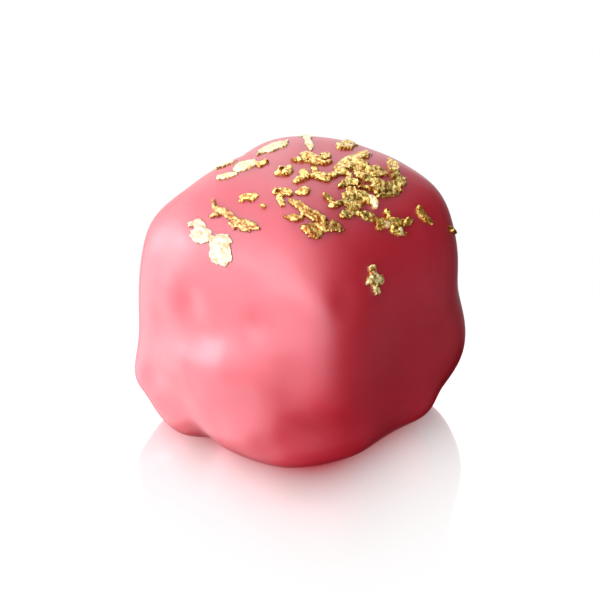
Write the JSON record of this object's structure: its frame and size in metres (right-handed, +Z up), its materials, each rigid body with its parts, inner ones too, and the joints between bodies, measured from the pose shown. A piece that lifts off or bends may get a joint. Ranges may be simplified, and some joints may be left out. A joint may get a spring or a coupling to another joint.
{
  "type": "coated turkish delight cube",
  "caption": "Soft-edged cube of jelly sweet in a smooth pink poured coating, with torn gold leaf scattered over its top.",
  "frame": {"origin": "middle of the flat underside, on the surface the cube stands on", "axes": "+Z up; the front corner with most of the gold leaf lies between the faces that look along -Y and +X"},
  "size_m": [0.0263, 0.0281, 0.0275],
  "materials": {
    "coating": "smooth poured sugar coating with a soft satin sheen, slightly translucent",
    "gold_leaf": "crumpled leaf, bright where it lies flat"
  },
  "bodies": {
    "root": {"coated_cube": "coating"}
  },
  "joints": []
}
